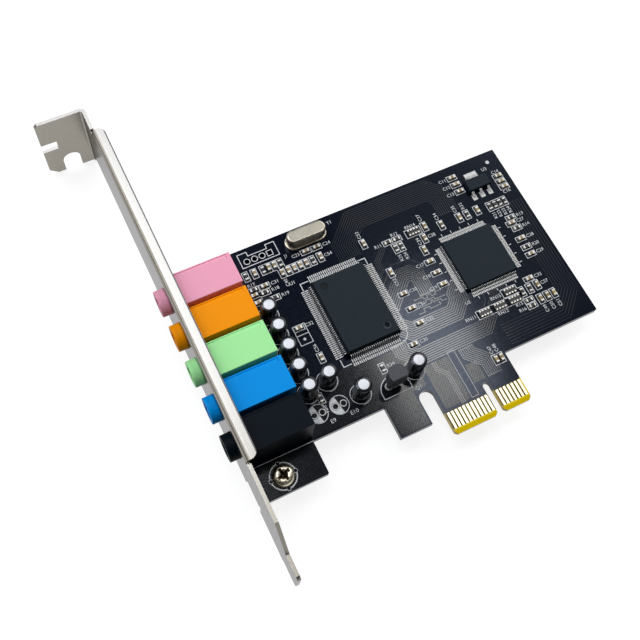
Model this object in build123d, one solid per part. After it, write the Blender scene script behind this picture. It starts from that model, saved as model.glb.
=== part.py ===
from build123d import *
import os

# A sound card: a short printed circuit board with a one-lane edge connector, screwed to a full-height
# slot bracket, with five stereo jacks, two flat-pack chips and the small parts around them.
# The origin is on the centre line of the key notch, at the lower edge of the contact tongue and half
# the board's thickness. X runs away from the bracket, Y up the bracket to its screw tab, and Z out of
# the component side. Sizes are in millimetres.

# Circuit board, measured from the key notch and from the lower edge of the tongue
board_thickness = 1.6
board_right = 34.6
board_top = 62.6
board_bottom = 12.5
board_corner = 0.2
foot_right = -42.2
foot_bottom = 4.4
leg_left = -24.0
leg_right = -15.9
leg_bottom = 4.5
slot_top = 12.3

# Edge connector tongue with its key notch
contact_pitch = 1.0
long_side_count = 11
short_side_count = 7
key_to_contact = 1.5
contact_to_edge = 0.65
key_width = 1.9
key_top = 8.0
tongue_corner = 0.6
bevel_length = 1.0
bevel_depth = 0.4
contact_width = 0.7
contact_bottom = 1.3
contact_top = 5.3
contact_thickness = 0.05

# Slot bracket, folded from one steel sheet
sheet = 0.86
bend_radius = 0.5
key_to_bracket = 59.05
bracket_length = 120.02
bracket_width = 18.42
bracket_rise = 14.2
tab_height = 105.5
tab_reach = 11.7
tab_width = 20.5
tab_inset = 0.6
tab_corner = 0.7
tab_chamfer = 2.0
screw_slot_width = 4.42
screw_slot_centre = 5.45
screw_slot_depth = 6.0
guide_slot_width = 2.9
guide_slot_depth = 3.9
guide_slot_drop = 10.1
flange_width = 3.0
flange_bottom = 11.4
flange_drop = 6.5
flange_corner = 1.8
bend_relief = 0.8
relief_depth = 1.6
tail_width = 10.19
tail_step = 1.0
tail_length = 5.5
taper_length = 5.8
tail_corner = 0.8
ear_reach = 10.4
ear_width = 6.8
bracket_gap = 0.5

# Screw that holds the board's foot on the bracket's ear
screw_x = -51.6
screw_y = 8.2
screw_diameter = 2.9
screw_length = 5.0
screw_side_count = 12
screw_head_diameter = 5.2
screw_head_height = 1.9
screw_head_rim = 0.9
screw_head_slope = 0.8
recess_width = 0.85
recess_span = 3.0
recess_depth = 1.2
screw_hole_clearance = 0.25
thread_clearance = 0.05

# Jacks, from the lowest one upwards
jack_names = ["rear_speaker", "line_in", "front_speaker", "centre_subwoofer", "microphone"]
jack_first_y = 17.3
jack_pitch = 9.2
jack_width = 8.05
jack_length = 15.9
jack_height = 11.0
jack_axis_height = 7.2
jack_wall = 0.9
jack_front_wall = 2.2
jack_gap = 0.2
barrel_diameter = 6.2
barrel_reach = 2.2
barrel_clearance = 0.2
plug_bore = 3.6
contact_strip = 0.3
contact_strip_width = 1.6
contact_play = 0.1
spring_run = 4.2
pin_width = 1.0
pin_tail = 1.3
pin_slot_clearance = 0.15
sleeve_pin_x = 3.4
ring_pin_x = 7.0
tip_pin_x = 13.2

# Electrolytic capacitors: sealed cans in shrunk sleeves
can_diameter = 4.0
can_height = 7.0
can_side_count = 18
capacitor_lead_pitch = 2.0
lead_width = 0.45
lead_hole_clearance = 0.12
column_gap = 1.6
column_top = 44.0
column_pitch = 5.27
column_count = 5
loose_capacitors = [(-33.2, 23.8), (-27.6, 17.8), (-13.6, 17.7)]
empty_capacitors = [(-38.4, 17.6), (-33.1, 17.5)]

# Crystal in its low can
crystal_x = -21.4
crystal_inset = 3.5
crystal_base_length = 11.05
crystal_base_width = 4.3
crystal_base_height = 0.5
crystal_base_corner = 1.3
crystal_can_length = 10.2
crystal_can_width = 3.5
crystal_can_height = 3.0
crystal_lead_pitch = 4.88
load_capacitor_drop = 3.4

# Empty four-pin header
header_x = -37.1
header_y = 59.05
header_pitch = 2.0
header_count = 4
header_hole = 0.9

# Flat-pack chips: audio controller and bus bridge
lead_thickness = 0.18
chip_standoff = 0.2
chip_draft = 14
controller_x = -19.3
controller_y = 36.85
controller_size = (14.0, 20.0, 2.7)
controller_span = 1.6
controller_foot = 0.8
controller_pitch = 0.5
controller_lead_width = 0.22
controller_short_count = 26
controller_long_count = 38
bridge_x = 15.0
bridge_y = 36.6
bridge_size = (14.0, 14.0, 1.4)
bridge_span = 1.0
bridge_foot = 0.5
bridge_pitch = 0.4
bridge_lead_width = 0.18
bridge_count = 32

# Voltage regulator with a wide cooling tab
regulator_x = 25.3
regulator_y = 55.0
regulator_size = (6.5, 3.5, 1.6)
regulator_span = 1.75
regulator_foot = 0.9
regulator_leg_pitch = 2.3
regulator_leg_width = 0.72
regulator_tab_width = 3.0
regulator_lead_thickness = 0.28

# Transistor on its three legs
transistor_x = -19.5
transistor_y = 16.6
transistor_width = 4.6
transistor_depth = 3.6
transistor_height = 4.7
transistor_stand = 2.8
transistor_lead = 0.45
transistor_pitch = 1.27

# Chip capacitors, chip resistors and resistor arrays: length, width, height
chip_capacitor = (1.6, 0.8, 0.8)
chip_resistor = (1.6, 0.8, 0.45)
chip_array = (3.2, 1.6, 0.6)

face = board_thickness / 2
back = -board_thickness / 2
plate_outer = -key_to_bracket
plate_inner = plate_outer + sheet
plate_high = face + bracket_rise
plate_low = plate_high - bracket_width
tab_high = plate_high - tab_inset
tab_low = tab_high - tab_width
flange_top = tab_height - flange_drop
board_left = plate_inner + bracket_gap
tongue_left = -key_to_contact - (long_side_count - 1) * contact_pitch - contact_to_edge
tongue_right = key_to_contact + (short_side_count - 1) * contact_pitch + contact_to_edge
jack_front = plate_inner + jack_gap
jack_back = jack_front + jack_length
jack_axis = face + jack_axis_height
jack_rows = [jack_first_y + jack_pitch * row for row in range(len(jack_names))]
column_x = jack_back + column_gap + can_diameter / 2
column_places = [(column_x, column_top - column_pitch * place) for place in range(column_count)]
capacitor_places = column_places + loose_capacitors
lead_hole = lead_width + 2 * lead_hole_clearance
crystal_y = board_top - crystal_inset
load_capacitor_y = crystal_y - load_capacitor_drop


def row(x, y, step_x, step_y, count):
    return [(x + step_x * place, y + step_y * place) for place in range(count)]


# Each row starts at its first part and steps to the next
capacitors_along_x = (
    row(20.3, 59.3, 0, -2.15, 3) + row(31.6, 55.0, 0, -1.7, 3) + row(3.5, 40.7, 0, -3.35, 3)
    + row(-6.6, 35.7, 0, -4.15, 3) + row(-23.0, load_capacitor_y, 2.9, 0, 2) + row(-39.2, 50.1, 0, -2.1, 2)
    + row(27.6, 41.6, 0, -4.75, 3) + [(-10.6, 23.2), (-36.0, 51.4), (-33.3, 38.2), (23.5, 26.5)]
)
capacitors_along_y = (
    row(11.1, 48.4, 5.25, 0, 3) + row(7.0, 49.8, -1.6, -2.9, 3) + row(-30.7, 52.8, 1.6, 0, 5)
    + row(-33.1, 55.4, 1.5, 0, 2) + row(5.3, 11.7, 1.4, 0, 2) + row(23.4, 20.7, 1.9, 0, 3)
    + [(-6.7, 42.0), (-9.2, 51.7), (-20.4, 52.9), (-36.8, 55.4), (-31.8, 29.4), (24.6, 24.3)]
)
resistors_along_x = (
    row(-3.5, 49.6, 2.5, 0, 2) + row(28.4, 43.1, -0.1, -3.2, 2) + row(20.6, 21.6, 0, -1.6, 2)
    + [(-38.8, 51.5), (-36.6, 49.8), (-35.0, 47.6), (27.7, 34.3)]
)
resistors_along_y = (
    row(25.1, 48.0, 1.43, 0, 4) + row(-2.4, 47.3, 1.5, 0, 2) + row(-39.0, 55.4, 4.5, 0, 3)
    + row(20.2, 24.2, 2.2, 0, 2) + [(18.6, 48.4), (-22.5, 52.8), (-20.0, 21.1), (-36.3, 20.6)]
)
arrays_along_x = row(9.0, 23.2, 4.2, 0, 3) + [(3.7, 49.6), (17.4, 25.6)]


def save(node, *solids):
    os.makedirs("parts", exist_ok=True)
    shape = solids[0] if len(solids) == 1 else Compound(list(solids))
    export_step(shape, f"parts/{node}.step")


def block(x0, x1, y0, y1, z0, z1):
    return Pos((x0 + x1) / 2, (y0 + y1) / 2, (z0 + z1) / 2) * Box(x1 - x0, y1 - y0, z1 - z0)


def upright(radius, x, y, z0, z1):
    return Pos(x, y, (z0 + z1) / 2) * Cylinder(radius, z1 - z0)


def along_x(radius, y, z, x0, x1):
    return Pos((x0 + x1) / 2, y, z) * Rot(0, 90, 0) * Cylinder(radius, x1 - x0)


def lead(width, x, y, z0, z1):
    half = width / 2
    return block(x - half, x + half, y - half, y + half, z0, z1)


def round_corners(sketch, radius, *corners):
    chosen = [sketch.vertices().sort_by_distance(Vector(*corner))[0] for corner in corners]
    return fillet(chosen, radius)


def clip_corners(sketch, length, *corners):
    chosen = [sketch.vertices().sort_by_distance(Vector(*corner))[0] for corner in corners]
    return chamfer(chosen, length)


def as_solid(shape):
    return shape.solids()[0]


def folded_angle(first, second):
    # Section of sheet folded to a right angle, with its outer corner at the origin
    points = [(0, 0), (first, 0), (first, sheet), (sheet, sheet), (sheet, second), (0, second)]
    section = make_face(Polyline(*points, close=True))
    section = round_corners(section, bend_radius + sheet, (0, 0))
    return round_corners(section, bend_radius, (sheet, sheet))


def screw_prism(clearance, z0, z1):
    # Shank of the screw, or the hole it passes through with a clearance
    section = RegularPolygon(screw_diameter / 2 + clearance, screw_side_count)
    return Pos(screw_x, screw_y, z0) * extrude(section, z1 - z0)


def bracket_plate():
    # Flat of the bracket with its tapered tail, seen along the board
    core = plate_high - relief_depth
    below_flange = flange_bottom - bend_relief
    tip = tab_height + sheet - bracket_length
    tail_low = plate_low + tail_step
    tail_high = tail_low + tail_width
    shoulder = tip + tail_length
    points = [
        (flange_top + bend_relief, plate_low), (flange_top + bend_relief, core), (below_flange, core),
        (below_flange, plate_high), (shoulder + taper_length, plate_high), (shoulder, tail_high),
        (tip, tail_high), (tip, tail_low), (shoulder, tail_low), (shoulder + tail_step, plate_low),
    ]
    outline = make_face(Polyline(*points, close=True))
    outline = clip_corners(outline, tail_corner, (tip, tail_high), (tip, tail_low))
    return Pos(plate_outer, 0, 0) * extrude(Plane.YZ * outline, sheet)


def bracket_tab():
    # Screw tab folded outwards at the top, with the open screw slot and the guide slot. It is wider than the
    # plate on the solder side, and the plate's edge sweeps out to it under the fold.
    fold = Plane(origin=(plate_inner, tab_height + sheet, tab_low), x_dir=(-1, 0, 0), z_dir=(0, 0, 1))
    drop = tab_height + sheet - flange_top - bend_relief
    tab = extrude(fold * folded_angle(tab_reach + sheet, drop), tab_width)
    flare = plate_low - tab_low
    flare_end = tab_height - bend_radius - flare
    tab -= block(plate_outer, plate_inner, flange_top, flare_end, tab_low, plate_low)
    tab -= along_x(flare, flare_end, tab_low, plate_outer - bend_radius, plate_inner)
    tip = plate_outer - tab_reach
    through = tab_height - sheet, tab_height + 2 * sheet
    centre = plate_outer - screw_slot_centre
    slot_radius = screw_slot_width / 2
    slot_end = tab_low + screw_slot_depth - slot_radius
    tab -= block(centre - slot_radius, centre + slot_radius, *through, tab_low, slot_end)
    tab -= Pos(centre, tab_height, slot_end) * Rot(90, 0, 0) * Cylinder(slot_radius, 4 * sheet)
    guide = plate_high - guide_slot_drop
    half = guide_slot_width / 2
    tab -= block(tip, tip + guide_slot_depth, *through, guide - half, guide + half)
    for level, length in [(tab_high, tab_corner), (tab_low, tab_chamfer)]:
        corner = tab.edges().filter_by(Axis.Y).sort_by_distance((tip, tab_height, level))[0]
        tab = chamfer(corner, length)
    return tab


def bracket_flange():
    # Stiffening flange along the component-side edge, folded inwards over the jacks
    fold = Plane(origin=(plate_outer, flange_bottom, plate_high), x_dir=(1, 0, 0), z_dir=(0, 1, 0))
    flange = extrude(fold * folded_angle(flange_width, bracket_width), flange_top - flange_bottom)
    free_edge = plate_outer + flange_width
    ends = [(free_edge, flange_bottom, plate_high), (free_edge, flange_top, plate_high)]
    corners = [flange.edges().filter_by(Axis.Z).sort_by_distance(end)[0] for end in ends]
    return fillet(corners, flange_corner)


def bracket_ear():
    # Ear under the board's foot, folded inwards from the solder-side edge
    top = screw_y + ear_width / 2
    fold = Plane(origin=(plate_outer, top, back - sheet), x_dir=(1, 0, 0), z_dir=(0, -1, 0))
    ear = extrude(fold * folded_angle(ear_reach, 4 * relief_depth), ear_width)
    return ear - screw_prism(thread_clearance, back - 2 * sheet, back)


def bracket():
    notch_low = screw_y - ear_width / 2 - bend_relief
    notch_high = screw_y + ear_width / 2 + bend_relief
    notch = block(plate_outer, plate_inner, notch_low, notch_high, plate_low, back + relief_depth)
    plate = bracket_plate() - notch
    body = plate + bracket_tab() + bracket_flange() + bracket_ear()
    hole = barrel_diameter / 2 + barrel_clearance
    for y in jack_rows:
        body -= along_x(hole, y, jack_axis, plate_outer - sheet, plate_inner + sheet)
    return as_solid(body)


def board_outline():
    points = [
        (board_left, board_top), (board_left, foot_bottom), (foot_right, foot_bottom),
        (foot_right, board_bottom), (leg_left, board_bottom), (leg_left, leg_bottom),
        (tongue_left, leg_bottom), (tongue_left, 0), (tongue_right, 0), (tongue_right, board_bottom),
        (board_right, board_bottom), (board_right, board_top),
    ]
    outline = make_face(Polyline(*points, close=True))
    ends = [(foot_right, foot_bottom), (board_right, board_bottom), (board_right, board_top)]
    outline = clip_corners(outline, board_corner, *ends)
    slot = ((leg_right + tongue_left) / 2, tongue_left - leg_right, slot_top)
    key = (0, key_width, key_top)
    for centre, width, top in (slot, key):
        middle = top - width / 2
        outline -= Pos(centre, (middle - width) / 2) * Rectangle(width, middle + width)
        outline -= Pos(centre, middle) * Circle(width / 2)
    tongue_ends = [(tongue_left, 0), (-key_width / 2, 0), (key_width / 2, 0), (tongue_right, 0)]
    return clip_corners(outline, tongue_corner, *tongue_ends)


def contact_pins(y):
    # Where each jack's three contacts pass through the board: x, y and whether the blade lies along X
    side = jack_width / 2 - jack_wall - contact_play - contact_strip / 2
    return [
        (jack_front + sleeve_pin_x, y, False),
        (jack_front + ring_pin_x, y - side, True),
        (jack_front + tip_pin_x, y + side, True),
    ]


def lead_places():
    half = capacitor_lead_pitch / 2
    leads = [(x + side * half, y) for x, y in capacitor_places for side in (-1, 1)]
    leads += [(crystal_x + side * crystal_lead_pitch / 2, crystal_y) for side in (-1, 1)]
    leads += [(transistor_x + leg * transistor_pitch, transistor_y) for leg in (-1, 0, 1)]
    return leads


def circuit_board():
    board = Pos(0, 0, back) * extrude(board_outline(), board_thickness)
    bevel = make_face(Polyline((0, face), (bevel_length, face), (0, face - bevel_depth), close=True))
    wedge = Pos(tongue_left, 0, 0) * extrude(Plane.YZ * bevel, tongue_right - tongue_left)
    board -= wedge
    board -= mirror(wedge, Plane.XY)
    cuts = [screw_prism(screw_hole_clearance, back, face)]
    for x, y in lead_places():
        cuts.append(lead(lead_hole, x, y, back, face))
    for x, y in empty_capacitors:
        for side in (-1, 1):
            cuts.append(lead(header_hole, x + side * capacitor_lead_pitch / 2, y, back, face))
    for pin in range(header_count):
        cuts.append(lead(header_hole, header_x + header_pitch * pin, header_y, back, face))
    long_half = pin_width / 2 + pin_slot_clearance
    short_half = contact_strip / 2 + pin_slot_clearance
    for centre in jack_rows:
        for x, y, along in contact_pins(centre):
            half_x, half_y = (long_half, short_half) if along else (short_half, long_half)
            cuts.append(block(x - half_x, x + half_x, y - half_y, y + half_y, back, face))
    return as_solid(board - cuts)


def edge_contacts(low, high):
    places = [-key_to_contact - contact_pitch * n for n in range(long_side_count)]
    places += [key_to_contact + contact_pitch * n for n in range(short_side_count)]
    half = contact_width / 2
    return [block(x - half, x + half, contact_bottom, contact_top, low, high) for x in places]


def bracket_screw():
    radius = screw_head_diameter / 2
    top = face + screw_head_height
    head = upright(radius, screw_x, screw_y, face, top)
    head = chamfer(head.edges().sort_by(Axis.Z)[-1], screw_head_height - screw_head_rim, screw_head_slope)
    cross = Rectangle(recess_span, recess_width) + Rectangle(recess_width, recess_span)
    head -= Pos(screw_x, screw_y, top - recess_depth) * extrude(cross, recess_depth)
    return as_solid(head + screw_prism(0, face - screw_length, face))


def jack_housing(y):
    half = jack_width / 2
    top = face + jack_height
    housing = block(jack_front, jack_back, y - half, y + half, face, top)
    housing += along_x(barrel_diameter / 2, y, jack_axis, plate_outer - barrel_reach, jack_front)
    inside = half - jack_wall
    chamber_start = jack_front + jack_front_wall
    housing -= block(chamber_start, jack_back - jack_wall, y - inside, y + inside, face, top - jack_wall)
    mouth = plate_outer - barrel_reach
    housing -= along_x(plug_bore / 2, y, jack_axis, mouth, chamber_start)
    return as_solid(housing)


def side_spring(x, y, side):
    # Flat spring that stands on a side wall and bows towards the plug
    low = jack_axis - contact_strip_width / 2
    reach = jack_width / 2 - jack_wall - contact_play - plug_bore / 2 - contact_strip - contact_play
    wall = y - side * contact_strip / 2
    bow = y + side * contact_strip / 2 + side * reach
    half = pin_width / 2
    thin = contact_strip / 2
    near = [(x + half, wall), (x - half, wall), (x - spring_run, bow - side * contact_strip)]
    far = [(px, py + side * contact_strip) for px, py in reversed(near)]
    strip = Pos(0, 0, low) * extrude(make_face(Polyline(*near, *far, close=True)), contact_strip_width)
    return as_solid(strip + block(x - half, x + half, y - thin, y + thin, back - pin_tail, low))


def sleeve_strip(x, y):
    # Strip under the bore that the plug's sleeve slides over
    top = jack_axis - plug_bore / 2 - contact_play
    half = contact_strip / 2
    wide = pin_width / 2
    pin = block(x - half, x + half, y - wide, y + wide, back - pin_tail, top)
    return as_solid(pin + block(x - half, x + spring_run, y - wide, y + wide, top - contact_strip, top))


def capacitor(x, y):
    return Pos(x, y, face) * as_solid(extrude(RegularPolygon(can_diameter / 2, can_side_count), can_height))


def capacitor_leads():
    half = capacitor_lead_pitch / 2
    places = [(x + side * half, y) for x, y in capacitor_places for side in (-1, 1)]
    return [lead(lead_width, x, y, back - pin_tail, face) for x, y in places]


def crystal_base():
    flange = Rectangle(crystal_base_length, crystal_base_width)
    flange = chamfer(flange.vertices(), crystal_base_corner)
    return Pos(crystal_x, crystal_y, face) * as_solid(extrude(flange, crystal_base_height))


def crystal_can():
    can = extrude(SlotOverall(crystal_can_length, crystal_can_width), crystal_can_height)
    return Pos(crystal_x, crystal_y, face + crystal_base_height) * as_solid(can)


def crystal_leads():
    places = [crystal_x + side * crystal_lead_pitch / 2 for side in (-1, 1)]
    return [lead(lead_width, x, crystal_y, back - pin_tail, face) for x in places]


def moulded_body(size, standoff):
    # Moulded package, drafted up and down from the parting line where its leads come out
    half_height = size[2] / 2
    middle = Rectangle(size[0], size[1])
    upper = extrude(middle, half_height, taper=chip_draft)
    lower = extrude(middle, -half_height, taper=chip_draft)
    return as_solid(Pos(0, 0, face + standoff + half_height) * (upper + lower))


def gull_wing(width, height, span, foot, thickness):
    # One lead: out of the body, down to the board and along its pad, where its tip thins into the solder
    knee = span - foot
    points = [(0, height), (0, height + thickness), (knee, thickness), (span, 0), (knee, 0)]
    side = Plane.XZ * make_face(Polyline(*points, close=True))
    return Pos(0, width / 2, face) * extrude(side, width)


def short_lead(width, height, span, foot, thickness):
    # Lead of a thin package, bent straight down to its pad
    points = [(0, height), (0, height + thickness), (span, 0), (span - foot, 0)]
    side = Plane.XZ * make_face(Polyline(*points, close=True))
    return Pos(0, width / 2, face) * extrude(side, width)


def chip_leads(centre, size, counts, pitch, pin):
    # Leads on all four sides; counts are those along X and along Y
    leads = []
    for quarter in range(4):
        count = counts[(quarter + 1) % 2]
        out = size[quarter % 2] / 2
        for n in range(count):
            across = (n - (count - 1) / 2) * pitch
            leads.append(Pos(*centre, 0) * Rot(0, 0, 90 * quarter) * Pos(out, across, 0) * pin)
    return leads


def controller_leads():
    height = chip_standoff + controller_size[2] / 2 - lead_thickness / 2
    pin = gull_wing(controller_lead_width, height, controller_span, controller_foot, lead_thickness)
    centre = (controller_x, controller_y)
    counts = (controller_short_count, controller_long_count)
    return chip_leads(centre, controller_size, counts, controller_pitch, pin)


def bridge_leads():
    height = chip_standoff + bridge_size[2] / 2 - lead_thickness / 2
    pin = short_lead(bridge_lead_width, height, bridge_span, bridge_foot, lead_thickness)
    counts = (bridge_count, bridge_count)
    return chip_leads((bridge_x, bridge_y), bridge_size, counts, bridge_pitch, pin)


def regulator_leads():
    height = regulator_size[2] / 2 - regulator_lead_thickness / 2
    out = regulator_size[1] / 2
    leg = gull_wing(regulator_leg_width, height, regulator_span, regulator_foot, regulator_lead_thickness)
    tab = gull_wing(regulator_tab_width, height, regulator_span, regulator_foot, regulator_lead_thickness)
    here = Pos(regulator_x, regulator_y, 0)
    legs = [here * Rot(0, 0, -90) * Pos(out, n * regulator_leg_pitch, 0) * leg for n in (-1, 0, 1)]
    return legs + [here * Rot(0, 0, 90) * Pos(out, 0, 0) * tab]


def transistor():
    # Rounded back, flat front
    radius = transistor_width / 2
    front = transistor_depth - radius
    section = Circle(radius) & Pos(0, (radius - front) / 2) * Rectangle(transistor_width, radius + front)
    body = as_solid(extrude(section, transistor_height))
    return Pos(transistor_x, transistor_y, face + transistor_stand) * body


def transistor_leads():
    half = transistor_lead / 2
    low = back - pin_tail
    high = face + transistor_stand
    places = [transistor_x + leg * transistor_pitch for leg in (-1, 0, 1)]
    return [block(x - half, x + half, transistor_y - half, transistor_y + half, low, high) for x in places]


def chips(size, places_x, places_y):
    along = Pos(0, 0, face + size[2] / 2) * Box(*size)
    turned = Rot(0, 0, 90) * along
    return [Pos(x, y, 0) * along for x, y in places_x] + [Pos(x, y, 0) * turned for x, y in places_y]


save("bracket", bracket())
save("circuit_board", circuit_board())
save("edge_contacts_component_side", *edge_contacts(face, face + contact_thickness))
save("edge_contacts_solder_side", *edge_contacts(back - contact_thickness, back))
save("bracket_screw", bracket_screw())
for name, y in zip(jack_names, jack_rows):
    (sleeve_x, sleeve_y, _), (ring_x, ring_y, _), (tip_x, tip_y, _) = contact_pins(y)
    save(f"{name}_jack_housing", jack_housing(y))
    save(f"{name}_jack_sleeve_contact", sleeve_strip(sleeve_x, sleeve_y))
    save(f"{name}_jack_ring_spring", side_spring(ring_x, ring_y, 1))
    save(f"{name}_jack_tip_spring", side_spring(tip_x, tip_y, -1))
for number, (x, y) in enumerate(capacitor_places, 1):
    save(f"capacitor_{number}", capacitor(x, y))
save("capacitor_leads", *capacitor_leads())
save("crystal_base", crystal_base())
save("crystal_can", crystal_can())
save("crystal_leads", *crystal_leads())
save("controller_body", Pos(controller_x, controller_y, 0) * moulded_body(controller_size, chip_standoff))
save("controller_leads", *controller_leads())
save("bridge_body", Pos(bridge_x, bridge_y, 0) * moulded_body(bridge_size, chip_standoff))
save("bridge_leads", *bridge_leads())
save("regulator_body", Pos(regulator_x, regulator_y, 0) * moulded_body(regulator_size, 0))
save("regulator_leads", *regulator_leads())
save("transistor_body", transistor())
save("transistor_leads", *transistor_leads())
save("chip_capacitors", *chips(chip_capacitor, capacitors_along_x, capacitors_along_y))
save("chip_resistors", *chips(chip_resistor, resistors_along_x, resistors_along_y))
save("resistor_arrays", *chips(chip_array, arrays_along_x, []))
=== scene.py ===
import math

import bmesh
import bpy
from mathutils import Matrix, Vector


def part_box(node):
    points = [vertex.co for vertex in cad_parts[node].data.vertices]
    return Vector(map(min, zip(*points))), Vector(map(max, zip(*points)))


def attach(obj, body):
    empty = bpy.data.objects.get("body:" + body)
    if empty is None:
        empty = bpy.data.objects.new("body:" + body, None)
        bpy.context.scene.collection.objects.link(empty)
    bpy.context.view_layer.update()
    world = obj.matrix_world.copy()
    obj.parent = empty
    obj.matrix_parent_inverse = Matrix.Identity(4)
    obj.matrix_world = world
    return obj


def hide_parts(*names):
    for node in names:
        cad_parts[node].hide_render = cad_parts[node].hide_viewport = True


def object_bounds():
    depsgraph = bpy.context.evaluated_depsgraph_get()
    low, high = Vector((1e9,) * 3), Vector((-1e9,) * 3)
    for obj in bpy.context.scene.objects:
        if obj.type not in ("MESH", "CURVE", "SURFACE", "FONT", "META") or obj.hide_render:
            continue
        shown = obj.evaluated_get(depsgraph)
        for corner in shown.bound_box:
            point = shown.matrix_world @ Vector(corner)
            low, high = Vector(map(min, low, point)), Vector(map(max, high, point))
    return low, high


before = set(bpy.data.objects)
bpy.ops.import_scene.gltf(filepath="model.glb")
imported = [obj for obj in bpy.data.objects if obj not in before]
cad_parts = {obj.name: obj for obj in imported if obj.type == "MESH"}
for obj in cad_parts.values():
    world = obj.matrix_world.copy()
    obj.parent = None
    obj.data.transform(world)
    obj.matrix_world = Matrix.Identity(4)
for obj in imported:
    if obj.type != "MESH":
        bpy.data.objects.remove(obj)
cad_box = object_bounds()

# Circuit board: glass-fibre laminate 1.6 mm thick, routed to shape with a foot, a leg and a keyed tongue.
# Black solder mask covers both faces. The bevel under the contacts and the tongue's edges are bare laminate.
mm = 0.001


def colour(code):
    """An sRGB hex value as the linear colour that a socket takes."""
    parts = [int(code[n:n + 2], 16) / 255 for n in (0, 2, 4)]
    return [p / 12.92 if p < 0.04046 else ((p + 0.055) / 1.055) ** 2.4 for p in parts] + [1.0]


def add(tree, kind, inputs, **settings):
    """One node with its settings, its inputs set or linked. A node as a value means its first output."""
    made = tree.nodes.new(kind)
    for name, value in settings.items():
        setattr(made, name, value)
    for name, value in inputs.items():
        several = isinstance(value, list) and isinstance(value[0], bpy.types.Node)
        for one in value if several else [value]:
            if isinstance(one, bpy.types.Node):
                one = one.outputs[0]
            if isinstance(one, bpy.types.NodeSocket):
                tree.links.new(one, made.inputs[name])
            else:
                made.inputs[name].default_value = one
    return made


def feed(tree, source, socket):
    """Links an output to a socket of the material's shader."""
    tree.links.new(source, tree.nodes["Principled BSDF"].inputs[socket])


def tint(tree, factor, codes):
    """Colours a material by a factor that runs from the first hex value to the last."""
    ramp = add(tree, "ShaderNodeValToRGB", {"Fac": factor})
    steps = ramp.color_ramp.elements
    while len(steps) < len(codes):
        steps.new(0.5)
    for n, code in enumerate(codes):
        steps[n].position = 0.3 + 0.4 * n / (len(codes) - 1)
        steps[n].color = colour(code)
    feed(tree, ramp.outputs["Color"], "Base Color")


def finish(name, codes, size, rough, lift=0.0, stretch=(1, 1, 1), **sockets):
    """A material that varies over spots of a size in mm: in gloss, in relief and between its colours."""
    made = bpy.data.materials.new(name)
    made.use_nodes = True
    tree = made.node_tree
    shader = tree.nodes["Principled BSDF"]
    for socket, value in sockets.items():
        shader.inputs[socket.replace("_", " ")].default_value = value
    place = add(tree, "ShaderNodeTexCoord", {}).outputs["Object"]
    drawn = add(tree, "ShaderNodeMapping", {"Vector": place, "Scale": stretch})
    noise = add(tree, "ShaderNodeTexNoise",
                {"Vector": drawn, "Scale": 1 / (size * mm), "Detail": 4.0}, name="spots")
    spread = add(tree, "ShaderNodeMapRange",
                 {"Value": noise, "From Min": 0.3, "From Max": 0.7, "To Min": rough[0], "To Max": rough[1]})
    feed(tree, spread.outputs["Result"], "Roughness")
    if lift:
        relief = add(tree, "ShaderNodeBump", {"Height": noise, "Distance": lift * mm, "Strength": 1.0})
        feed(tree, relief.outputs["Normal"], "Normal")
    if len(codes) == 1:
        shader.inputs["Base Color"].default_value = colour(codes[0])
    elif codes:
        tint(tree, noise, codes)
    return made


def box_of(node):
    """Lowest and highest corner of a CAD node, in mm."""
    return [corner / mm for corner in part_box(node)]


def coat(material, *nodes):
    """Gives CAD nodes their material."""
    for node in nodes:
        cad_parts[node].data.materials[0] = material


board_low, board_high = box_of("circuit_board")
face = board_high.z
back = board_low.z

# Screened epoxy over glass cloth: black-blue with a soft gloss, the weave just showing as uneven shine.
# Bare resin is yellow on the bevel and round the tongue, and brown between the contacts.
mask = finish("solder_mask_on_laminate", [], 0.9, (0.12, 0.17), 0.002, Specular_IOR_Level=0.22,
              Specular_Tint=colour("DCE8FF"))
tree = mask.node_tree
spot = add(tree, "ShaderNodeTexCoord", {}).outputs["Object"]
axes = add(tree, "ShaderNodeSeparateXYZ", {"Vector": spot}).outputs
normal = add(tree, "ShaderNodeNewGeometry", {}).outputs["Normal"]
facing = add(tree, "ShaderNodeSeparateXYZ", {"Vector": normal}).outputs["Z"]
flat = add(tree, "ShaderNodeMath", {0: facing}, operation="ABSOLUTE")
zones = {}
for zone, value, limit, test in [("tongue", axes["X"], -13 * mm, "GREATER_THAN"),
                                 ("contacts", axes["Y"], 5.6 * mm, "LESS_THAN"),
                                 ("bevel", axes["Y"], 1.3 * mm, "LESS_THAN"),
                                 ("end", axes["X"], 7.88 * mm, "GREATER_THAN"),
                                 ("edge", flat, 0.5, "LESS_THAN")]:
    zones[zone] = add(tree, "ShaderNodeMath", {0: value, 1: limit}, operation=test)
bare = add(tree, "ShaderNodeMath", {0: zones["tongue"], 1: zones["contacts"]}, operation="MULTIPLY")
rim = add(tree, "ShaderNodeMath", {0: zones["bevel"], 1: zones["end"]}, operation="MAXIMUM")
rim = add(tree, "ShaderNodeMath", {0: rim, 1: zones["edge"]}, operation="MAXIMUM")
resin = add(tree, "ShaderNodeMix", {0: rim, 6: colour("2C220C"), 7: colour("E2C400")},
            data_type="RGBA").outputs[2]
shown = add(tree, "ShaderNodeMix", {0: bare, 6: colour("050A16"), 7: resin}, data_type="RGBA").outputs[2]
feed(tree, shown, "Base Color")
coat(mask, "circuit_board")


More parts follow.
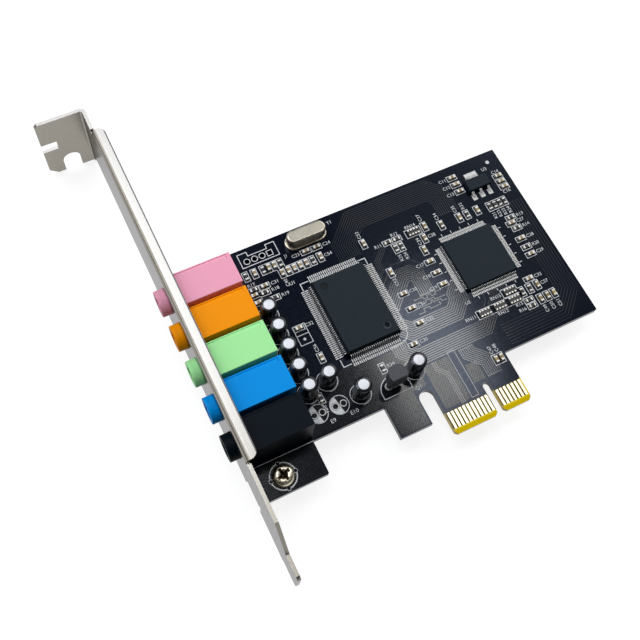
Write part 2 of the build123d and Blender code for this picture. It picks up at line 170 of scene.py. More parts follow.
# Copper on both faces: etched foil under the mask, which shows as lighter lines and as a woven pattern.
# Tracks run side by side from chip to chip and turn by 45 degrees, one inside another.
def lay(sheet, points, width, level, closed=False):
    """Adds a flat strip along the points to a sheet of faces, mitred at its corners. Sizes in mm."""
    verts, faces = sheet
    first = len(verts)
    points = [Vector(point) for point in points]
    count = len(points)
    for n, here in enumerate(points):
        runs = []
        if closed or n > 0:
            runs.append((here - points[n - 1]).normalized())
        if closed or n < count - 1:
            runs.append((points[(n + 1) % count] - here).normalized())
        along = sum(runs, Vector((0, 0))).normalized()
        reach = width / 2 / max(0.35, along.dot(runs[0]))
        for side in (reach, -reach):
            verts.append((here.x - along.y * side, here.y + along.x * side, level))
    for n in range(count if closed else count - 1):
        a, b = first + 2 * n, first + 2 * ((n + 1) % count)
        faces.append((a, a + 1, b + 1, b) if level > 0 else (b, b + 1, a + 1, a))


def fill(sheet, points, level):
    """Adds one flat face with this outline, given anticlockwise, to a sheet of faces."""
    verts, faces = sheet
    ring = list(range(len(verts), len(verts) + len(points)))
    verts.extend((x, y, level) for x, y in points)
    faces.append(ring if level > 0 else ring[::-1])


def rectangle(left, low, right, high):
    """Corners of a rectangle, anticlockwise."""
    return [(left, low), (right, low), (right, high), (left, high)]


def arc(x, y, radius, start=0.0, end=360.0, count=24):
    """Points of a circle, or of a part of one, in degrees."""
    turns = [math.radians(start + (end - start) * n / count) for n in range(count + (end - start < 360))]
    return [(x + radius * math.cos(turn), y + radius * math.sin(turn)) for turn in turns]


def bundle(sheet, path, count, pitch, width, level):
    """Lays tracks side by side, each a pitch to the right of the last, with a small via at each end."""
    points = [Vector(point) for point in path]
    runs = [(b - a).normalized() for a, b in zip(points, points[1:])]
    for n in range(count):
        line = []
        for k, here in enumerate(points):
            after = runs[min(k, len(runs) - 1)]
            along = (runs[max(k - 1, 0)] + after).normalized()
            reach = n * pitch / along.dot(after)
            line.append((here.x + along.y * reach, here.y - along.x * reach))
        lay(sheet, line, width, level)
        for end in (line[0], line[-1]):
            fill(sheet, arc(*end, 1.1 * width, count=8), level + math.copysign(0.001, level))


def put(name, data):
    """A new object in the scene."""
    made = bpy.data.objects.new(name, data)
    bpy.context.scene.collection.objects.link(made)
    return made


def piece(name, mesh, skins=(), replaced=()):
    """A finished mesh, with the materials that its faces count through, as a piece that rides on the card."""
    made = put(name, mesh)
    for skin in skins:
        mesh.materials.append(skin)
    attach(made, "root")
    if replaced:
        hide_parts(*replaced)


def flat_piece(name, sheet, material):
    """A sheet of faces, drawn in mm, as a piece."""
    mesh = bpy.data.meshes.new(name)
    mesh.from_pydata([Vector(vert) * mm for vert in sheet[0]], [], sheet[1])
    piece(name, mesh, [material])


# Each bundle lies a hair above the last, so that no two faces share a plane
copper_rise, layer_step = 0.012, 0.002
tracks = ([], [])
# Middle line of the first track, count, pitch to the right and width of each bundle
track_runs = [
    # From the lower right of the controller to the left side of the bridge chip
    ([(6.6, 35.0), (3.0, 31.4), (3.0, 29.9), (1.6, 28.5), (-8.4, 28.5), (-10.2, 30.3)], 9, -0.54, 0.26),
    # From the lower side of the controller round its corner and along the board to the resistor arrays
    ([(-12.0, 24.8), (-12.0, 23.6), (-10.2, 21.8), (6.4, 21.8), (8.6, 24.0)], 8, 0.54, 0.26),
    # Nested turns to the right of the controller
    ([(-12.2, 35.2), (-5.4, 42.0), (-1.6, 42.0), (0.8, 39.6), (0.8, 33.6)], 8, 0.54, 0.26),
    ([(-12.2, 37.4), (-5.9, 43.7), (-1.2, 43.7), (1.3, 41.2), (1.3, 40.0)], 1, 0.42, 0.18),
    ([(-10.0, 41.2), (-7.7, 43.5), (-7.7, 45.6), (-4.6, 48.6)], 4, -0.42, 0.18),
    # Lines that wind to and fro to match their lengths
    ([(-4.9, 33.1), (-2.7, 33.1), (-2.7, 32.5), (-1.6, 32.5), (-1.6, 33.1), (-0.5, 33.1), (-0.5, 32.5),
      (0.6, 32.5), (0.6, 33.1), (2.2, 33.1)], 1, 0.4, 0.2),
    ([(-5.4, 32.2), (-3.8, 32.2), (-3.8, 31.5), (-2.6, 31.5), (-2.6, 32.0), (-0.2, 32.0), (-0.2, 31.4),
      (2.4, 31.4)], 1, 0.4, 0.2),
    ([(-5.0, 30.9), (-1.4, 30.9), (-1.4, 31.5), (-0.9, 31.5), (-0.9, 30.9), (1.2, 30.9), (1.2, 30.3),
      (2.3, 30.3)], 1, 0.4, 0.2),
    ([(-5.4, 29.4), (-4.0, 29.4), (-4.0, 30.3), (-2.4, 30.3), (-2.4, 29.7), (0.4, 29.7), (0.4, 30.2)],
     1, 0.4, 0.2),
    # Beside the bridge chip, along the right edge and round the corner
    ([(33.6, 47.0), (33.6, 19.5), (27.6, 13.5), (11.0, 13.5)], 8, 0.75, 0.16),
    # Over the upper part of the board, between the crystal and the regulator
    ([(17.5, 51.0), (17.5, 57.4), (13.3, 61.6), (-9.5, 61.6), (-16.5, 54.6), (-16.5, 49.8)], 11, -0.55, 0.2),
    # From the bridge chip down to the resistor arrays
    ([(11.0, 27.6), (11.0, 26.2), (9.8, 25.0), (9.8, 24.2)], 1, 0.4, 0.18),
    ([(12.4, 27.6), (12.4, 26.4), (10.9, 24.9)], 12, -0.45, 0.18),
    # From the contacts into the board
    ([(1.6, 9.0), (1.6, 12.0), (-1.6, 15.2), (-1.6, 17.4)], 8, 0.5, 0.2),
    ([(-7.3, 6.0), (-7.3, 13.4), (-9.0, 15.1), (-9.0, 17.2)], 3, 0.45, 0.16),
]
for n, (path, count, pitch, width) in enumerate(track_runs):
    bundle(tracks, path, count, pitch, width, face + copper_rise + layer_step * n)
# The broad supply strip that comes up from the contacts
lay(tracks, rectangle(-4.5, 6.1, -2.7, 18.2), 0.22, face + copper_rise, True)
# On the solder side, long runs from the jacks to the controller and out to the bridge chip
solder_side_runs = [
    ([(-40.0, 47.0), (-30.0, 47.0), (-26.0, 43.0), (-4.0, 43.0), (2.0, 49.0), (30.0, 49.0)], 9, 0.8, 0.25),
    ([(-40.0, 36.0), (-28.0, 36.0), (-22.0, 30.0), (6.0, 30.0), (10.0, 34.0), (32.0, 34.0)], 6, 0.7, 0.25),
    ([(-41.0, 25.5), (-14.0, 25.5), (-6.0, 17.5), (-6.0, 7.0)], 6, 0.7, 0.3),
    ([(3.5, 7.0), (3.5, 17.0), (9.5, 23.0), (33.0, 23.0)], 5, 0.8, 0.3),
]
for n, (path, count, pitch, width) in enumerate(solder_side_runs):
    bundle(tracks, path, count, pitch, width, back - copper_rise - layer_step * n)

# Mask over copper: the same black, lifted by the foil below it, smoother and shinier than over bare laminate
masked_copper = finish("mask_over_copper", ["141A24", "1E242C", "2A2A26"], 6.0, (0.11, 0.15),
                       Specular_IOR_Level=0.5)
flat_piece("copper_tracks", tracks, masked_copper)

# Ground areas etched as a lattice, so that the board stays flat when it is soldered
ground = ([], [])
ground_rise = 0.006
for area in [(-57.6, 4.6, -42.4, 12.1), (-41.8, 12.9, -23.2, 24.6), (-23.7, 4.8, -16.3, 12.9),
             (-23.2, 12.9, -16.7, 24.0), (-16.7, 13.2, -12.7, 24.0), (-11.4, 6.2, -4.9, 17.4),
             (-2.3, 8.9, 0.9, 13.6), (-29.0, 24.6, -16.0, 25.0)]:
    fill(ground, rectangle(*area), face + ground_rise)
for area in [(-57.0, 13.2, 33.8, 18.0), (-57.0, 51.0, 33.8, 61.8), (-57.0, 5.2, -43.0, 11.9),
             (-23.2, 5.3, -16.7, 13.2), (-11.4, 6.2, -1.8, 13.2), (1.8, 6.2, 7.4, 13.2)]:
    fill(ground, rectangle(*area), back - ground_rise)
lattice = finish("mask_over_copper_lattice", [], 0.9, (0.12, 0.17), Specular_IOR_Level=0.3)
tree = lattice.node_tree
spot = add(tree, "ShaderNodeTexCoord", {}).outputs["Object"]
slanted = add(tree, "ShaderNodeMapping", {"Vector": spot, "Rotation": (0, 0, math.radians(45))})
lattice_pitch = 0.54
holes = []
for axis in ("X", "Y"):
    along = add(tree, "ShaderNodeSeparateXYZ", {"Vector": slanted}).outputs[axis]
    steps = add(tree, "ShaderNodeMath", {0: along, 1: 1 / (lattice_pitch * mm)}, operation="MULTIPLY")
    part_step = add(tree, "ShaderNodeMath", {0: steps}, operation="FRACT")
    holes.append(add(tree, "ShaderNodeMath", {0: part_step, 1: 0.4}, operation="GREATER_THAN"))
hole = add(tree, "ShaderNodeMath", {0: holes[0], 1: holes[1]}, operation="MULTIPLY")
laid = add(tree, "ShaderNodeMix", {0: hole, 6: colour("14181F"), 7: colour("05070A")},
           data_type="RGBA").outputs[2]
feed(tree, laid, "Base Color")
sheen = add(tree, "ShaderNodeMapRange", {"Value": hole, "To Min": 0.31, "To Max": 0.2})
feed(tree, sheen.outputs["Result"], "Specular IOR Level")
flat_piece("ground_lattice", ground, lattice)


# White ink on the component side: screened epoxy, an outline round each part and a plain designator by it.
# Rings, brackets and ticks show where the cans and chips stand.
def merged(node):
    """A CAD node's mesh as a shape to work on, its doubled corners made one."""
    shape = bmesh.new()
    shape.from_mesh(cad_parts[node].data)
    bmesh.ops.remove_doubles(shape, verts=shape.verts, dist=1e-7)
    return shape


def islands_of(node):
    """The corner points, in mm, of each separate solid in a CAD node."""
    shape = merged(node)
    seen, islands = set(), []
    for start in shape.verts:
        if start in seen:
            continue
        island, queue = [], [start]
        seen.add(start)
        while queue:
            vert = queue.pop()
            island.append(vert.co / mm)
            for edge in vert.link_edges:
                other = edge.other_vert(vert)
                if other not in seen:
                    seen.add(other)
                    queue.append(other)
        islands.append(island)
    shape.free()
    return islands


def boxes_of(node):
    """Lowest and highest corner, in mm, of each separate solid in a CAD node."""
    corners = []
    for island in islands_of(node):
        low = Vector([min(point[n] for point in island) for n in range(3)])
        high = Vector([max(point[n] for point in island) for n in range(3)])
        corners.append((low, high))
    return corners


def letter(sheet, words, x, y, size, turn=0.0):
    """Adds lettering to a sheet of faces, centred on a point, in mm."""
    font = bpy.data.curves.new("lettering", "FONT")
    font.body, font.size = words, size
    font.align_x, font.align_y = "CENTER", "CENTER"
    font.resolution_u = 2
    holder = bpy.data.objects.new("lettering", font)
    mesh = bpy.data.meshes.new_from_object(holder)
    placed = Matrix.Translation((x, y, ink_level)) @ Matrix.Rotation(math.radians(turn), 4, "Z")
    first = len(sheet[0])
    sheet[0].extend(tuple(placed @ vert.co) for vert in mesh.vertices)
    sheet[1].extend([first + n for n in side.vertices] for side in mesh.polygons)
    bpy.data.objects.remove(holder)
    bpy.data.curves.remove(font)
    bpy.data.meshes.remove(mesh)


ink_level = face + 0.05
ink_width = 0.16
ink = ([], [])
# Places on the board that lettering keeps clear of: middle and half size
taken = [(-19.3, 36.8, 9.8, 12.8), (15.0, 36.6, 9.6, 9.6), (-49.8, 37.0, 8.0, 25.0), (-33.8, 59.6, 5.0, 2.2)]
for node in ["crystal_base", "transistor_body", "regulator_leads"] + [f"capacitor_{n}" for n in range(1, 9)]:
    low, high = box_of(node)
    middle, half = (low + high) / 2, (high - low) / 2
    taken.append((middle.x, middle.y, half.x + 0.7, half.y + 0.7))
named = []
for node, prefix in [("chip_capacitors", "C"), ("chip_resistors", "R"), ("resistor_arrays", "RN")]:
    for n, (low, high) in enumerate(boxes_of(node)):
        middle, size = (low + high) / 2, high - low
        along_x = size.x > size.y
        half_x, half_y = size.x / 2 + (0.5 if along_x else 0.3), size.y / 2 + (0.3 if along_x else 0.5)
        around = rectangle(middle.x - half_x, middle.y - half_y, middle.x + half_x, middle.y + half_y)
        lay(ink, around, ink_width, ink_level, True)
        taken.append((middle.x, middle.y, half_x, half_y))
        named.append((f"{prefix}{n + 11}", middle.x, middle.y, half_x, half_y, along_x))
for words, x, y, half_x, half_y, along_x in named:
    size = 1.25
    long, tall = 0.32 * size * len(words), 0.38 * size
    beside = [(x + side * (half_x + long + 0.2), y, 0, long, tall) for side in (1, -1)]
    above = [(x, y + side * (half_y + long + 0.2), 90, tall, long) for side in (-1, 1)]
    over = [(x, y + side * (half_y + tall + 0.2), 0, long, tall) for side in (-1, 1)]
    for spot_x, spot_y, turn, wide, high in (beside + over if along_x else above + beside):
        free = all(abs(spot_x - at[0]) > wide + at[2] or abs(spot_y - at[1]) > high + at[3] for at in taken)
        if free and -41.6 + wide < spot_x < 34.0 - wide and 13.0 + high < spot_y < 62.2 - high:
            letter(ink, words, spot_x, spot_y, size, turn)
            taken.append((spot_x, spot_y, wide, high))
            break
# Outline of the pin header that isn't fitted, raised at both ends
lay(ink, [(-38.7, 57.7), (-29.0, 57.7), (-29.0, 61.5), (-31.3, 61.5), (-31.3, 60.4), (-36.3, 60.4),
          (-36.3, 61.5), (-38.7, 61.5)], 0.2, ink_level, True)
# Brackets at the corners of the controller, one cut off at pin one's far corner
for corner in [[(-28.1, 46.4), (-28.1, 48.3), (-25.9, 48.3)], [(-12.7, 48.2), (-10.7, 48.2), (-10.7, 46.4)],
               [(-28.1, 27.1), (-28.1, 25.1), (-26.0, 25.1)],
               [(-12.6, 25.1), (-11.7, 25.1), (-10.5, 26.3), (-10.5, 27.3)]]:
    lay(ink, corner, 0.22, ink_level)
# Ticks that count the leads of the bridge chip
bridge_low, bridge_high = box_of("bridge_body")
centre = (bridge_low + bridge_high) / 2
tick_pitch, tick_gap, tick_length = 2.6, 1.9, 0.7
for n in range(-2, 3):
    along = tick_pitch * n
    for side in (-1, 1):
        near = side * (bridge_high.x - centre.x + tick_gap)
        far = near + side * tick_length
        for ends in ([(near, along), (far, along)], [(along, near), (along, far)]):
            lay(ink, [(centre.x + x, centre.y + y) for x, y in ends], ink_width, ink_level)
# Circles under the electrolytic capacitors, thick on the negative side, with a tick at the positive lead
for n in range(1, 9):
    low, high = box_of(f"capacitor_{n}")
    x, y = (low.x + high.x) / 2, (low.y + high.y) / 2
    lay(ink, arc(x, y, 2.4), 0.14, ink_level, True)
    lay(ink, arc(x, y, 2.5, -100, 10), 0.34, ink_level)
    lay(ink, [(x + 1.5, y + 2.8), (x + 1.5, y + 3.6)], 0.2, ink_level)
# Circles of the two capacitors that aren't fitted, half of each filled round the hole that is there
empty_capacitors = [(-38.4, 17.6), (-33.1, 17.5)]
for n, (x, y) in enumerate(empty_capacitors):
    lay(ink, arc(x, y, 2.25), 0.18, ink_level, True)
    rim = [Vector(point) for point in arc(x, y, 2.2, 100, 280, 18)]
    rim += [rim[-1].lerp(rim[0], step / 8) for step in range(1, 8)]
    hole = Vector((x - 1.0, y))
    for a, b in zip(rim, rim[1:] + rim[:1]):
        fill(ink, [a, b] + [hole + (point - hole).normalized() * 0.95 for point in (b, a)], ink_level)
    letter(ink, f"E{n + 9}", x + 2.4, y - 2.9, 1.4)
# Outline of the transistor, flat towards the leg of the board
low, high = box_of("transistor_body")
x, y = (low.x + high.x) / 2, low.y - 1.2
lay(ink, [(x - 3.6, y), (x + 3.6, y)] + arc(x, y + 1.0, 3.7, 8, 172, 14), 0.2, ink_level, True)
# Selector outline, the line above the foot, the mark beside the regulator
lay(ink, rectangle(-34.7, 33.9, -31.6, 39.0), ink_width, ink_level, True)
lay(ink, [(-34.7, 36.4), (-31.6, 36.4)], ink_width, ink_level)
for y in (35.2, 37.7):
    fill(ink, arc(-33.2, y, 0.35, 0, 360, 10), ink_level)
lay(ink, [(-57.2, 12.5), (-42.1, 12.5)], 0.18, ink_level)
fill(ink, arc(31.3, 59.7, 0.5, 0, 360, 12), ink_level)
for words, x, y, size in [("Y1", -14.2, 60.6, 1.3), ("Q1", -14.6, 13.4, 1.3), ("U1", -29.6, 49.4, 1.3),
                          ("U2", 6.6, 27.2, 1.2), ("U3", 29.4, 58.2, 1.3), ("J1", -27.9, 56.6, 1.2)]:
    letter(ink, words, x, y, size)

# Screened epoxy ink: matt off-white, a little thin in places
white_ink = finish("white_epoxy_ink", ["BCC0C2", "E4E5E4"], 0.6, (0.55, 0.7), Specular_IOR_Level=0.3)
flat_piece("white_ink", ink, white_ink)


# Contacts of the edge connector: copper with hard gold over nickel, plated on before the board is bevelled.
# They are smooth, paler than jewellery gold, with faint lines from being pushed in.
# Each has sloping etched sides; a darker line on both edges is painted shade for them, drawn wider than it is
# so that it shows.
gold = finish("hard_gold_plate", [], 0.25, (0.3, 0.42), 0.0, (1, 0.1, 1), Metallic=1.0)
tree = gold.node_tree
spot = add(tree, "ShaderNodeTexCoord", {}).outputs["Object"]
across = add(tree, "ShaderNodeSeparateXYZ", {"Vector": spot}).outputs["X"]
turns = add(tree, "ShaderNodeMath", {0: across, 1: 1 / mm}, operation="MULTIPLY")
from_middle = add(tree, "ShaderNodeMath", {0: turns, 1: 1.0}, operation="PINGPONG")
off = add(tree, "ShaderNodeMath", {0: from_middle, 1: 0.5}, operation="SUBTRACT")
edge = add(tree, "ShaderNodeMath", {0: off}, operation="ABSOLUTE")
# Across each contact the colour runs from pale in the middle to the painted shade at both edges
painted_edge_shade = add(tree, "ShaderNodeMapRange",
            {"Value": edge, "From Min": 0.22, "From Max": 0.34, "To Min": 0.3, "To Max": 0.7})
tint(tree, painted_edge_shade, ["F8EED0", "EBD596", "6A5418"])
coat(gold, "edge_contacts_component_side", "edge_contacts_solder_side")


# Bare pads and rings: copper tinned with solder, under each chip lead and round each hole, wired or not.
# The four holes of the header and those of two capacitors are empty.
def tails_of(*nodes):
    """The middle, in mm, of each lead that comes out of the solder side."""
    places = []
    for node in nodes:
        for island in islands_of(node):
            below = [point for point in island if point.z < back - 0.3]
            if below:
                places.append((sum(p.x for p in below) / len(below), sum(p.y for p in below) / len(below)))
    return places


jacks = [("rear_speaker", "jack_black", "060F17"), ("line_in", "jack_blue", "008EDF"),
         ("front_speaker", "jack_green", "A6EC9F"), ("centre_subwoofer", "jack_orange", "F59403"),
         ("microphone", "jack_pink", "EDA3B9")]
spring_kinds = ("sleeve_contact", "ring_spring", "tip_spring")
springs = [f"{name}_jack_{kind}" for name, _, _ in jacks for kind in spring_kinds]
wired_holes = tails_of("capacitor_leads", "crystal_leads", "transistor_leads", *springs)
header_holes = [(-37.1 + 2.0 * n, 59.05) for n in range(4)]
empty_holes = header_holes[:3] + [(x + side, y) for x, y in empty_capacitors for side in (-1.0, 1.0)]
pads = ([], [])
pad_rise, ring_rise, via_rise, via_shade_rise, tab_rise = 0.055, 0.05, 0.054, 0.058, 0.045
for level in (face + pad_rise, back - pad_rise):
    for x, y in empty_holes:
        lay(pads, arc(x, y, 0.74), 0.2, level, True)
    x, y = header_holes[3]
    lay(pads, rectangle(x - 0.7, y - 0.7, x + 0.7, y + 0.7), 0.2, level, True)
    for x, y in wired_holes:
        lay(pads, arc(x, y, 0.8), 0.4, level, True)
# A ring round the screw, joined to the other side by four vias; dark mask-coloured discs over them are
# painted shade where their holes are
screw_low, screw_high = box_of("bracket_screw")
screw_x, screw_y = (screw_low.x + screw_high.x) / 2, (screw_low.y + screw_high.y) / 2
lay(pads, arc(screw_x, screw_y, 3.05, count=40), 0.28, face + ring_rise, True)
via_shade_discs = ([], [])
for x, y in arc(screw_x, screw_y, 2.95, count=4):
    lay(pads, arc(x, y, 0.45, count=12), 0.16, face + via_rise, True)
    # A dark disc on each via: painted shade for its hole
    fill(via_shade_discs, arc(x, y, 0.42, count=12), face + via_shade_rise)
flat_piece("via_holes_painted_shade", via_shade_discs, mask)
# One pad under each lead of the two chips: its solder covers the foot and runs down in front of it
foot_rise, toe_rise = 0.17, 0.04
lead_places = {}
for chip, inner, outer, width in [("controller", 0.95, 2.55, 0.27), ("bridge", 0.6, 1.72, 0.29)]:
    low, high = box_of(f"{chip}_body")
    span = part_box(f"{chip}_leads")[1].x / mm - high.x
    lead_places[chip] = []
    for lead_low, lead_high in boxes_of(f"{chip}_leads"):
        middle = (lead_low + lead_high) / 2
        start = Vector((min(max(middle.x, low.x), high.x), min(max(middle.y, low.y), high.y)))
        out = (middle.xy - start).normalized()
        lead_places[chip].append((*start, face, math.degrees(math.atan2(out.y, out.x))))
        side = Vector((-out.y, out.x)) * width / 2
        first = len(pads[0])
        for reach, rise in [(inner, foot_rise), (span, foot_rise), (span + 0.2, toe_rise), (outer, toe_rise)]:
            pads[0].extend((*(start + out * reach + across), face + rise) for across in (side, -side))
        pads[1].extend((first + n, first + n + 1, first + n + 3, first + n + 2) for n in (0, 2, 4))

# Pads under the legs and the cooling tab of the regulator, larger than the metal on them
for island in islands_of("regulator_leads"):
    feet = [point for point in island if point.z < face + 0.25]
    left, right = min(p.x for p in feet) - 0.25, max(p.x for p in feet) + 0.25
    near, far = min(p.y for p in feet) - 0.35, max(p.y for p in feet) + 0.35
    fill(pads, rectangle(left, near, right, far), face + tab_rise)

# Tin-lead solder, levelled with hot air: bright and a little uneven, light grey
levelled = finish("levelled_solder", ["989896", "B4B4B2"], 0.5, (0.4, 0.58), 0.006, Metallic=1.0)
flat_piece("tinned_pads", pads, levelled)


# Controller and bridge chip: bodies moulded from black epoxy, the controller's with two round mould marks.
# Tinned leads come out of all four sides, step down and lie flat on the pads.
def softened(node, edge, angle=30.0, segments=2):
    """A CAD node's mesh with its sharp edges broken by an amount in mm."""
    shape = merged(node)
    bmesh.ops.dissolve_limit(shape, angle_limit=math.radians(1), verts=shape.verts, edges=shape.edges)
    sharp = [side for side in shape.edges if len(side.link_faces) == 2
             and side.calc_face_angle() > math.radians(angle)]
    bmesh.ops.bevel(shape, geom=sharp, offset=edge * mm, segments=segments, profile=0.5, affect="EDGES",
                    clamp_overlap=True)
    return meshed(shape)


def evaluated(holder):
    """What an object's modifiers make of it, as a plain mesh. The object goes."""
    bpy.context.view_layer.update()
    result = bpy.data.meshes.new_from_object(holder.evaluated_get(bpy.context.evaluated_depsgraph_get()))
    holder.modifiers.clear()
    bpy.data.objects.remove(holder)
    return result


def meshed(shape, angle=50):
    """A shape as a mesh, smooth up to an angle, with its broad faces kept flat."""
    mesh = bpy.data.meshes.new("made")
    shape.to_mesh(mesh)
    shape.free()
    mesh.shade_smooth()
    mesh.set_sharp_from_angle(angle=math.radians(angle))
    holder = put("made", mesh)
    holder.modifiers.new("flat", "WEIGHTED_NORMAL").keep_sharp = True
    return evaluated(holder)


def stacked(levels):
    """A shape of outlines at heights in mm, each joined to the next, and its rings. One point makes a tip."""
    shape = bmesh.new()
    count = max(len(outline) for outline, _ in levels)
    rings = []
    for outline, height in levels:
        ring = [shape.verts.new((x * mm, y * mm, height * mm)) for x, y in outline]
        rings.append(ring if len(ring) > 1 else ring * count)
    for lower, upper in zip(rings, rings[1:]):
        for n in range(count):
            after = (n + 1) % count
            shape.faces.new(dict.fromkeys([lower[n], lower[after], upper[after], upper[n]]))
    return shape, rings


def turned(profile, x, y, z, count=32):
    """A closed mesh turned about an upright line, from points of radius and height in mm, lowest first."""
    shape, _ = stacked([(arc(x, y, radius, count=count) if radius else [(x, y)], z + height)
                        for radius, height in profile])
    bmesh.ops.recalc_face_normals(shape, faces=shape.faces)
    return meshed(shape)


def sink(mesh, *cutters, angle=15):
    """The mesh with other closed meshes cut out of it."""
    body = put("body", mesh)
    tools = [put("tool", cutter) for cutter in cutters]
    for tool in tools:
        cut = body.modifiers.new("cut", "BOOLEAN")
        cut.object, cut.solver = tool, "EXACT"
    shape = bmesh.new()
    shape.from_mesh(evaluated(body))
    for tool in tools:
        bpy.data.objects.remove(tool)
    bmesh.ops.dissolve_limit(shape, angle_limit=math.radians(0.5), verts=shape.verts, edges=shape.edges)
    bmesh.ops.triangulate(shape, faces=[side for side in shape.faces if len(side.verts) > 4])
    return meshed(shape, angle)


# Epoxy filled with fine silica: charcoal, matt, with a faint pebble from the mould
epoxy = finish("moulded_epoxy", ["182127", "1F282F"], 0.35, (0.5, 0.62), 0.004, Specular_IOR_Level=0.1)
# Where a pin of the mould pushed the body out, the skin is smoother; down in the mark it is painted darker as
# painted shade, and on the shallow ring of one mark it is painted paler as a painted highlight
pin_mark_painted_shade = finish("moulded_epoxy_pressed_painted_shade", ["10161A"], 0.35, (0.4, 0.5), 0.002, Specular_IOR_Level=0.1)
pin_ring_painted_highlight = finish("moulded_epoxy_ring_painted_highlight", ["3C454B"], 0.35, (0.45, 0.6), 0.002, Specular_IOR_Level=0.2)
marks = {"controller": [(-23.8, 44.4, [(0.95, -0.1)], 1),
                        (-14.8, 29.4, [(0.3, -0.3), (0.62, -0.14), (0.98, -0.02)], 2)], "bridge": []}
for chip, dots in marks.items():
    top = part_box(f"{chip}_body")[1].z / mm
    cutters = []
    for x, y, steps, _ in dots:
        profile = [(0, steps[0][1])]
        for (radius, depth), (_, above) in zip(steps, steps[1:] + [(0, 0.5)]):
            profile += [(radius, depth), (radius, above)]
        cutters.append(turned(profile + [(0, 0.5)], x, y, top, 28))
    mesh = sink(softened(f"{chip}_body", 0.12, 20), *cutters)
    # Faces down in a mark take the painted shade; on the second mark those out on its ring take the painted
    # highlight
    for side in mesh.polygons:
        for x, y, _, skin in dots:
            from_dot = math.hypot(side.center.x / mm - x, side.center.y / mm - y)
            if from_dot < 0.97 and side.center.z / mm < top - 0.01:
                side.material_index = skin if from_dot > 0.55 else 1
    piece(f"{chip}_case", mesh, [epoxy, pin_mark_painted_shade, pin_ring_painted_highlight], [f"{chip}_body"])


def growing(name, **kinds):
    """A Geometry Nodes tree with named inputs, and the node that gives them."""
    tree = bpy.data.node_groups.new(name, "GeometryNodeTree")
    tree.interface.new_socket("Geometry", in_out="INPUT", socket_type="NodeSocketGeometry")
    tree.interface.new_socket("Geometry", in_out="OUTPUT", socket_type="NodeSocketGeometry")
    for label, kind in kinds.items():
        tree.interface.new_socket(label, in_out="INPUT", socket_type=f"NodeSocket{kind}")
    return tree, add(tree, "NodeGroupInput", {}).outputs


def grown(name, tree, places, **values):
    """Runs a tree on places, each x, y, z in mm and a turn in degrees, and gives a plain mesh."""
    mesh = bpy.data.meshes.new(name)
    mesh.from_pydata([Vector(place[:3]) * mm for place in places], [], [])
    turns = mesh.attributes.new("turn", "FLOAT", "POINT")
    turns.data.foreach_set("value", [math.radians(place[3]) for place in places])
    holder = put(name, mesh)
    modifier = holder.modifiers.new(name, "NODES")
    modifier.node_group = tree
    for item in tree.interface.items_tree:
        if item.in_out == "INPUT" and item.name in values:
            value = values[item.name]
            modifier[item.identifier] = value * mm if isinstance(value, float) else value
    return evaluated(holder)


def close_tree(tree, given, shape):
    """Ends a tree: one shape on each point, turned as the point says, realized and in the tree's finish."""
    turn = add(tree, "GeometryNodeInputNamedAttribute", {"Name": "turn"}, data_type="FLOAT")
    heading = add(tree, "ShaderNodeCombineXYZ", {"Z": turn})
    rotation = add(tree, "FunctionNodeEulerToRotation", {"Euler": heading})
    placed = add(tree, "GeometryNodeInstanceOnPoints",
                 {"Points": given["Geometry"], "Instance": shape, "Rotation": rotation})
    ready = add(tree, "GeometryNodeRealizeInstances", {"Geometry": placed})
    if "Finish" in given:
        ready = add(tree, "GeometryNodeSetMaterial", {"Geometry": ready, "Material": given["Finish"]})
    add(tree, "NodeGroupOutput", {"Geometry": ready})


# A lead is a flat strip that leaves the body level, steps down steeply and ends level on the pad
leads, given = growing("gull_wing_leads", Span="Float", Drop="Float", Width="Float", Thickness="Float",
                       Finish="Material")
steps = 15
half = add(leads, "ShaderNodeMath", {0: given["Thickness"], 1: 0.5}, operation="MULTIPLY")
begin = add(leads, "ShaderNodeCombineXYZ", {"Z": half})
step = add(leads, "ShaderNodeMath", {0: given["Span"], 1: float(steps)}, operation="DIVIDE")
stride = add(leads, "ShaderNodeCombineXYZ", {"X": step})
line = add(leads, "GeometryNodeMeshLine", {"Count": steps + 1, "Start Location": begin, "Offset": stride})
index = add(leads, "GeometryNodeInputIndex", {})
along = add(leads, "ShaderNodeMath", {0: index, 1: float(steps)}, operation="DIVIDE")
shape = add(leads, "ShaderNodeFloatCurve", {"Value": along})
bends = shape.mapping.curves[0].points
bends[0].location, bends[1].location = (0, 1), (1, 0)
for place in ((0.13, 0.995), (0.26, 0.97), (0.333, 0.88), (0.4, 0.07), (0.467, 0)):
    bends.new(*place)
for bend in bends:
    bend.handle_type = "VECTOR"
shape.mapping.update()
fall = add(leads, "ShaderNodeMath", {0: given["Drop"], 1: half}, operation="SUBTRACT")
height = add(leads, "ShaderNodeMath", {0: shape, 1: fall}, operation="MULTIPLY")
raised = add(leads, "ShaderNodeCombineXYZ", {"Z": height})
stepped = add(leads, "GeometryNodeSetPosition", {"Geometry": line, "Offset": raised})
path = add(leads, "GeometryNodeMeshToCurve", {"Mesh": stepped})
level_path = add(leads, "GeometryNodeSetCurveNormal", {"Curve": path}, mode="Z_UP")
section = add(leads, "GeometryNodeCurvePrimitiveQuadrilateral",
              {"Width": given["Width"], "Height": given["Thickness"]})
strip = add(leads, "GeometryNodeCurveToMesh",
            {"Curve": level_path, "Profile Curve": section, "Fill Caps": True})
close_tree(leads, given, strip)

# Matt tin over copper alloy: pale and satin
tin = finish("matt_tin_plate", ["CBCBC9", "E1E1E0"], 0.3, (0.4, 0.5), Metallic=1.0)
for chip, drop, width in [("controller", 1.35, 0.24), ("bridge", 0.75, 0.19)]:
    span = (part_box(f"{chip}_leads")[1].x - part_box(f"{chip}_body")[1].x) / mm
    mesh = grown(f"{chip}_gull_wings", leads, lead_places[chip], Span=span, Drop=drop, Width=width,
                 Thickness=0.15, Finish=tin)
    piece(f"{chip}_gull_wings", mesh, replaced=[f"{chip}_leads"])


